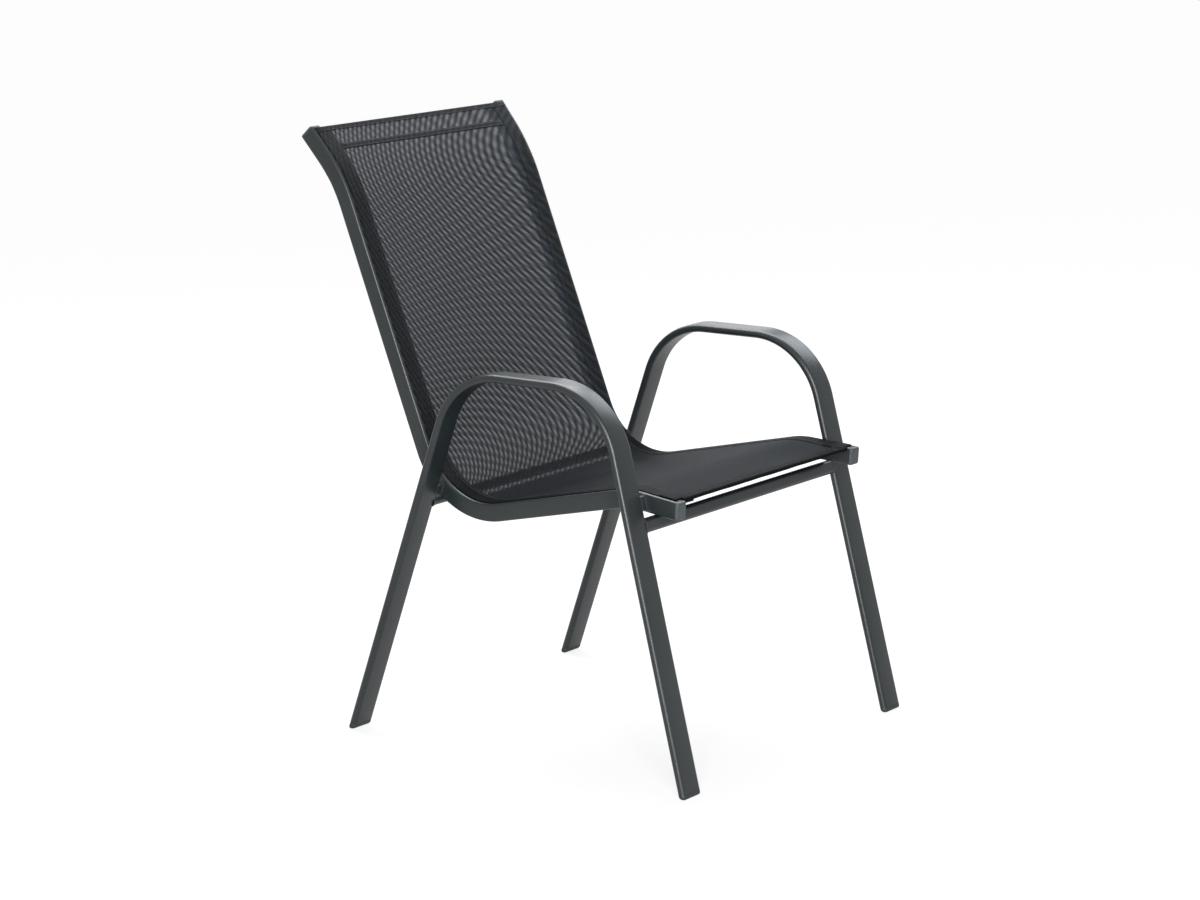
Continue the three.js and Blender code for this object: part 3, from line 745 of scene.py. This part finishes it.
rear_bar_at, rear_leg = leg_crossing(REAR_FOOT, ARM_REAR, RAIL_DEPTH / 2 + GAP + REAR_BAR_RADIUS)
outline, hollow = circle(REAR_BAR_RADIUS, 28), circle(REAR_BAR_RADIUS - WALL, 28)
crossbar("rear_bar", outline, hollow, rear_bar_at, rear_leg, "rear_crossbar")


# Stubs between the front legs and the rails, and ties between the rear legs and the rails.
def stub_ring(side, x, outline, at, leg):
    across = np.array((leg[1], -leg[0]))
    places = [at + leg * a + across * b for a, b in outline]
    return [np.array((side * x, p[0], p[1])) for p in places]


def stub(name, side, rail_face, outline, at, leg, nodes):
    """A short block from the rail's outer face to the leg, with a weld round each end."""
    shell, welds = Shell(), Shell()
    leg_end = bar_end(outline, at, leg, side)
    near = stub_ring(side, rail_face, outline, at, leg)
    middle = stub_ring(side, rail_face + STUB_STRAIGHT, outline, at, leg)
    seam = stub_ring(side, rail_face + STUB_SEAM, outline, at, leg)
    shell.loft([near, middle, leg_end])
    piece(name, COAT, shell.points, shell.faces, nodes)
    bead(welds, leg_end, STUB_WELD)
    bead(welds, seam, STUB_WELD)
    piece(f"{name}_welds", COAT, welds.points, welds.faces)


stub_at, _ = leg_crossing(FRONT_FOOT, ARM_FRONT, 0)
stub_splay = LIP_SPLAY * (stub_at[0] - KNEE[0]) / (RAIL_FRONT[0] - KNEE[0])
stub_outline = rounded_box(STUB_WIDTH, STUB_DEPTH, STUB_CORNER, 4)
tie_at = rear_bar_at + rear_leg * TIE_RISE
tie_outline = rounded_box(TIE_WIDTH, TIE_DEPTH, TIE_CORNER, 4)
rail_face = RAIL_X + RAIL_WIDTH / 2 + STUB_GAP
for name, side in SIDES.items():
    replaced = [f"front_stub_{name}"]
    stub(f"stub_{name}", side, rail_face + stub_splay, stub_outline, stub_at, front_leg, replaced)
    stub(f"rear_tie_{name}", side, rail_face, tie_outline, tie_at, rear_leg, [])


# Beads where the rails rest on the rear bar.
for name, side in SIDES.items():
    welds = Shell()
    near = int(np.argmin(np.linalg.norm(rail_line.places - rear_bar_at, axis=1)))
    top = np.array(rail_line.tops[near][1:])
    along = np.array(rail_line.directions[near])
    for turn in (-1, 1):
        place = rear_bar_at + top * REST_WELD_RISE + along * turn * REST_WELD_APART
        across = np.linspace(RAIL_X - REST_WELD_REACH, RAIL_X + REST_WELD_REACH, 12)
        bead(welds, [np.array((side * x, *place)) for x in across], BAR_WELD, closed=False)
    piece(f"rear_bar_rail_welds_{name}", COAT, welds.points, welds.faces)


# Sling. Places on the stretched sheet go by the way across, the length down from the top and the
# height over the rails' middle line.
INNER = RAIL_X - RAIL_WIDTH / 2
STATIONS = np.arange(len(edge_line.points), dtype=float)


def on_sheet(x, station, height):
    """A place on the sheet, which follows the rails beside them and cuts their bends between."""
    across = min(1.0, max(-1.0, x / INNER))
    share = across ** 2

    def between(values):
        low = min(int(station), len(values) - 2)
        return values[low] + (values[low + 1] - values[low]) * (station - low)

    edge, mid = between(edge_line.points), between(mid_line.points)
    top = between(edge_line.tops)
    point = mid + (edge - mid) * share + top / np.linalg.norm(top) * height
    return np.array((x + across * edge[0], point[1], point[2]))


def station_at(length):
    return float(np.interp(length, edge_line.lengths, STATIONS))


SHEET_LENGTH = float(edge_line.lengths[-1])
SHEET_MID, SHEET_THICK = 14.35, 0.36
THROAT_FOOT, SLOT_TURN = 12.6, 0.9
SLOT_EDGE = RAIL_X + SLOT_X


def sheet_section():
    """The sheet's middle line across: round one rod, up the slot, across the seat and down again."""
    low = SHEET_MID - SLOT_TURN
    loop = arc((SLOT_EDGE, SLOT_Y), HEM_RADIUS, math.radians(-235), math.radians(82), 18)
    rise = [(SLOT_EDGE, THROAT_FOOT), (SLOT_EDGE, low)]
    turn = arc((SLOT_EDGE - SLOT_TURN, low), SLOT_TURN, 0, math.pi / 2, 4)[1:]
    half = loop + rise + turn
    span = [(x, SHEET_MID) for x in np.linspace(INNER, -INNER, 29)]
    return half + span + [(-x, y) for x, y in reversed(half)]


def thin_sheet(name, section, across, nodes):
    """The mesh: a closed skin about the section's line, with its weave coordinates."""
    section = np.array(section, dtype=float)
    tangent = np.gradient(section, axis=0)
    normal = np.column_stack((tangent[:, 1], -tangent[:, 0]))
    normal /= np.linalg.norm(normal, axis=1)[:, None]
    count, rows, points, uvs = len(section), len(STATIONS), [], []
    for half in (0.5, -0.5):
        line = section + normal * SHEET_THICK * half
        for station, length in zip(STATIONS, edge_line.lengths):
            points.extend(on_sheet(x, station, height) for x, height in line)
            uvs.extend((u, length) for u in across)
    back = rows * count
    faces = []
    for k in range(rows - 1):
        for i in range(count - 1):
            a, b = k * count + i, (k + 1) * count + i
            faces.append((a, a + 1, b + 1, b))
            faces.append((back + a, back + b, back + b + 1, back + a + 1))
        for i in (0, count - 1):
            a, b = k * count + i, (k + 1) * count + i
            faces.append((a, b, back + b, back + a) if i else (b, a, back + a, back + b))
    for k in (0, rows - 1):
        for i in range(count - 1):
            a = k * count + i
            faces.append((a, a + 1, back + a + 1, back + a))
    skin = [float(i >= back) for i in range(len(points))]
    return piece(name, MESH, points, faces, nodes, uvs, skin=skin)


section = sheet_section()
rounds = lengths_along(section)
across = rounds[-1] / 2 - rounds
mesh_sheet = thin_sheet("sling_mesh_panel", section, across, ["sling"])


HEM_LEVEL = SHEET_MID + SHEET_THICK / 2 + 0.02
HEM_THICK, HEM_SOFT = 0.5, 0.5


def patch(name, across, down, height, columns, thickness=HEM_THICK):
    """A strip of folded cloth on the sheet, with low edges, from one place to another each way."""
    x0, x1 = across
    s0, s1 = down
    inner_columns = list(np.linspace(x0, x1, columns + 1)[1:-1])
    xs = [x0, x0 + HEM_SOFT] + inner_columns + [x1 - HEM_SOFT, x1]
    ends = [station_at(s0 + HEM_SOFT), station_at(s1 - HEM_SOFT)]
    inside = [k for k in STATIONS if ends[0] + 0.02 < k < ends[1] - 0.02]
    if len(inside) < 2:
        inside += [station_at(s) for s in np.linspace(s0, s1, 4)[1:-1]]
    stations = sorted({station_at(s0), station_at(s1), *ends, *inside})
    lengths = [float(np.interp(k, STATIONS, edge_line.lengths)) for k in stations]
    count, rows, points, uvs = len(xs), len(stations), [], []
    for level in (1.0, 0.0):
        for k, (station, length) in enumerate(zip(stations, lengths)):
            for i, x in enumerate(xs):
                at_edge = i in (0, count - 1) or k in (0, rows - 1)
                rise = thickness * level * (0.35 if at_edge else 1.0)
                points.append(on_sheet(x, station, height + rise))
                uvs.append((x, length))
    back, faces = rows * count, []
    for k in range(rows - 1):
        for i in range(count - 1):
            a, b = k * count + i, (k + 1) * count + i
            faces.append((a, a + 1, b + 1, b))
            faces.append((back + a, back + b, back + b + 1, back + a + 1))
    rim = list(range(count)) + [k * count + count - 1 for k in range(1, rows)]
    rim += [(rows - 1) * count + i for i in range(count - 2, -1, -1)]
    rim += [k * count for k in range(rows - 2, 0, -1)]
    for a, b in zip(rim, rim[1:] + rim[:1]):
        faces.append((a, b, back + b, back + a))
    return piece(name, HEM, points, faces, uvs=uvs, sharp=60)


def front_roll(name, across, lap, radius, thickness, turn, drop=0.0):
    """Folded cloth on the sheet's front edge that curls down before it by a turn and may hang on."""
    end = float(STATIONS[-1])
    outline = []
    low = HEM_LEVEL - SHEET_MID
    for share in np.linspace(0, 1, 5):
        outline.append((-lap * (1 - share), low + thickness))
    for a in np.linspace(0, math.radians(turn), 10)[1:]:
        outline.append((radius * math.sin(a), low + thickness - radius * (1 - math.cos(a))))
    hung = outline[-1]
    if drop:
        outline += [(hung[0], hung[1] - drop * share) for share in (0.4, 0.7, 1.0)]
    inner = []
    for i, (along, rise) in enumerate(outline):
        before, after = outline[max(0, i - 1)], outline[min(len(outline) - 1, i + 1)]
        slope = math.atan2(after[1] - before[1], after[0] - before[0])
        inner.append((along + thickness * math.sin(slope), rise - thickness * math.cos(slope)))
    tip, root = outline[-1], inner[-1]
    end_of_fold = ((tip[0] + root[0]) / 2 - 0.3, (tip[1] + root[1]) / 2 - 0.25)
    loop = outline + [end_of_fold] + inner[::-1]
    lengths = lengths_along(loop)
    direction = np.array((0.0, *edge_line.directions[-1]))
    columns = np.linspace(*across, 3 + int((across[1] - across[0]) / 9))
    uvs, rings, shell = [], [], Shell()
    for x in columns:
        slack = 0.5 * math.sin(x / 17.0) + 0.35 * math.sin(x / 7.3 + 1.0)
        ring = []
        for along, rise in loop:
            station = end if along > 0 else station_at(SHEET_LENGTH + along)
            place = on_sheet(x, station, SHEET_MID + rise)
            droop = max(0.0, -rise + low) / radius
            ring.append(place + direction * (max(0.0, along) + 0.5 * slack * droop))
        rings.append(ring)
        uvs.extend((x, SHEET_LENGTH - lap + d) for d in lengths)
    shell.loft(rings)
    return piece(name, HEM, shell.points, shell.faces, uvs=uvs, sharp=60)


SIDE_HEM, CORNER_FLAP = 30.5, 33.0
TOP_HEM, FOLD_START, FOLD_END = 9.0, 34.0, 45.0
HEM_EDGE = SLOT_EDGE - SIDE_HEM


def on_side(side, outer, inner):
    """Two places across the chair on one side of it, the lower one first."""
    return sorted((side * outer, side * inner))


for name, side in SIDES.items():
    strip = on_side(side, SLOT_EDGE + 0.1, HEM_EDGE)
    patch(f"side_hem_{name}", strip, (1.0, SHEET_LENGTH - 1.0), HEM_LEVEL, 6)
patch("top_hem", (-SLOT_EDGE, SLOT_EDGE), (0.2, TOP_HEM), HEM_LEVEL + HEM_THICK, 28)
patch("fold_hem", (-HEM_EDGE, HEM_EDGE), (FOLD_START, FOLD_END), HEM_LEVEL, 24)

strip = (-INNER + 2.0, INNER - 2.0)
front_roll("front_hem", strip, lap=14.0, radius=3.7, thickness=0.9, turn=118.0)
strip = (-INNER + 1.0, -INNER + 22.0)
front_roll("corner_drop_right", strip, lap=1.0, radius=4.8, thickness=1.4, turn=90.0, drop=3.0)
for name, side in SIDES.items():
    strip = on_side(side, SLOT_EDGE - 0.5, SLOT_EDGE - CORNER_FLAP)
    ends = (SHEET_LENGTH - CORNER_FLAP, SHEET_LENGTH - 0.5)
    patch(f"corner_flap_{name}", strip, ends, HEM_LEVEL + 2 * HEM_THICK, 4)
    strip = on_side(side, INNER - 0.4, INNER - 19.0)
    ends = (SHEET_LENGTH - 15.0, SHEET_LENGTH - 1.0)
    patch(f"corner_tuck_{name}", strip, ends, SHEET_MID - 5.2, 4, thickness=4.9)


# Stitches. Along each one: the share of its length, the share of its width and its rise.
STITCH_PITCH, STITCH_LENGTH, STITCH_WIDTH = 4.2, 3.1, 0.75
STITCH_SHAPE = ((0.0, 0.25, 0.05), (0.25, 0.5, 0.22), (0.75, 0.5, 0.22), (1.0, 0.25, 0.05))


def stitches(name, rows):
    """Short raised threads in rows, each from one (across, down) spot to another at a height."""
    shell = Shell()
    for start, end, height in rows:
        start, end = np.array(start), np.array(end)
        run = np.linalg.norm(end - start)
        along = (end - start) / run
        beside = np.array((-along[1], along[0]))
        for k in range(int(run / STITCH_PITCH)):
            first = start + along * (k * STITCH_PITCH + 0.3)
            rings = []
            for share, size, rise in STITCH_SHAPE:
                spot = first + along * STITCH_LENGTH * share
                ring = []
                for sideways, upward in circle(STITCH_WIDTH * size, 6):
                    place = spot + beside * sideways
                    ring.append(on_sheet(place[0], station_at(place[1]), height + rise + upward * 0.4))
                rings.append(ring)
            shell.loft(rings)
    return piece(name, THREAD, shell.points, shell.faces)


TOP_OF_HEM = HEM_LEVEL + HEM_THICK
rows = []
for side in SIDES.values():
    for inset in (2.2, 7.0):
        x = side * (HEM_EDGE + inset)
        rows.append(((x, 12.0), (x, SHEET_LENGTH - 3.0), TOP_OF_HEM))
seams = [stitches("side_hem_stitches", rows)]
rows = [((-HEM_EDGE + 1, s), (HEM_EDGE - 1, s), TOP_OF_HEM) for s in (36.4, 42.6)]
seams.append(stitches("fold_stitches", rows))
rows = [((-SLOT_EDGE + 3, 7.6), (SLOT_EDGE - 3, 7.6), TOP_OF_HEM + HEM_THICK)]
seams.append(stitches("top_stitches", rows))
front = SHEET_LENGTH - 11.0
rows = [((-INNER + 3, front), (INNER - 3, front), HEM_LEVEL + 0.9)]
seams.append(stitches("front_stitches", rows))

# The edge rods stay the CAD's own solids and get their plastic here.
for name in SIDES:
    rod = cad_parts[f"edge_rod_{name}"]
    for slot in rod.material_slots:
        slot.material = ROD


# Floor, backdrop and light, in metres and watts. The floor glows towards the camera, less near
# the chair than far from it, so that it looks white and keeps the shadow.
FLOOR_REACH, FLOOR_SHADE = 30.0, 0.25
GLOW_FAR, GLOW_NEAR, GLOW_RUN, GLOW_MIRRORED = 0.94, 0.8, 2.2, 0.72
SKY_LIGHT, SKY_GLOSS = 0.16, 0.7
WHITE, COOL = (1.0, 1.0, 1.0), (0.86, 0.93, 1.0)


def floor():
    mesh = bpy.data.meshes.new("floor")
    corners = [(x * FLOOR_REACH, y * FLOOR_REACH, 0) for x, y in ((-1, -1), (1, -1), (1, 1), (-1, 1))]
    mesh.from_pydata(corners, [], [(0, 1, 2, 3)])
    made = bpy.data.objects.new("floor", mesh)
    bpy.context.scene.collection.objects.link(made)
    t = Tree("floor_paint")
    path = t.node("ShaderNodeLightPath")
    mirrored = t.math("MULTIPLY", path.outputs["Is Glossy Ray"], GLOW_MIRRORED)
    seen = t.math("ADD", path.outputs["Is Camera Ray"], mirrored)
    seen = t.math("ADD", seen, path.outputs["Is Transmission Ray"], clamp=True)
    split = t.node("ShaderNodeSeparateXYZ")
    t.put(t.node("ShaderNodeTexCoord").outputs["Object"], split.inputs[0])
    x, y = split.outputs["X"], split.outputs["Y"]
    away = t.math("MULTIPLY_ADD", x, x, t.math("MULTIPLY", y, y))
    fall = t.math("POWER", t.math("MULTIPLY_ADD", away, GLOW_RUN ** -2, 1.0), -2.0)
    glow = t.span(fall, 0.0, 1.0, GLOW_FAR, GLOW_NEAR)
    t.set(Base_Color=(FLOOR_SHADE, FLOOR_SHADE, FLOOR_SHADE, 1.0), Roughness=0.9, Specular_IOR_Level=0.0)
    t.set(Emission_Color=(*WHITE, 1.0), Emission_Strength=t.math("MULTIPLY", seen, glow))
    mesh.materials.append(t.material)


def sky():
    world = bpy.data.worlds.new("studio")
    bpy.context.scene.world = world
    world.use_nodes = True
    tree = world.node_tree
    background = tree.nodes["Background"]
    path = tree.nodes.new("ShaderNodeLightPath")
    levels = {"Is Camera Ray": 1.0, "Is Transmission Ray": 1.0, "Is Glossy Ray": SKY_GLOSS}
    spans = []
    for output, level in levels.items():
        span = tree.nodes.new("ShaderNodeMapRange")
        span.inputs["To Min"].default_value = SKY_LIGHT
        span.inputs["To Max"].default_value = level
        tree.links.new(path.outputs[output], span.inputs["Value"])
        spans.append(span.outputs["Result"])
    for other in spans[1:]:
        most = tree.nodes.new("ShaderNodeMath")
        most.operation = "MAXIMUM"
        tree.links.new(spans[0], most.inputs[0])
        tree.links.new(other, most.inputs[1])
        spans[0] = most.outputs[0]
    tree.links.new(spans[0], background.inputs["Strength"])
    background.inputs["Color"].default_value = (*WHITE, 1.0)


def lamp(name, place, target, size, watts, colour=WHITE):
    """A flat lamp, hidden from the camera, that faces a target."""
    data = bpy.data.lights.new(name, "AREA")
    data.shape = "RECTANGLE"
    data.size, data.size_y = size
    data.energy = watts
    data.color = colour
    made = bpy.data.objects.new(name, data)
    bpy.context.scene.collection.objects.link(made)
    made.location = place
    made.rotation_euler = (Vector(place) - Vector(target)).to_track_quat("Z", "Y").to_euler()
    made.visible_camera = False


floor()
sky()
lamp("top", (0.8, 1.0, 2.6), (0, 0, 0.4), (2.2, 2.0), 75)
lamp("front", (-2.8, -2.3, 1.45), (0, 0, 0.6), (1.8, 2.4), 160)
lamp("side", (2.3, -0.1, 2.2), (0, 0, 0.6), (1.5, 1.2), 22, COOL)
lamp("back", (2.3, 1.9, 1.4), (0, 0, 0.6), (1.4, 0.8), 5.5, COOL)

bpy.context.scene.view_settings.view_transform = "Standard"
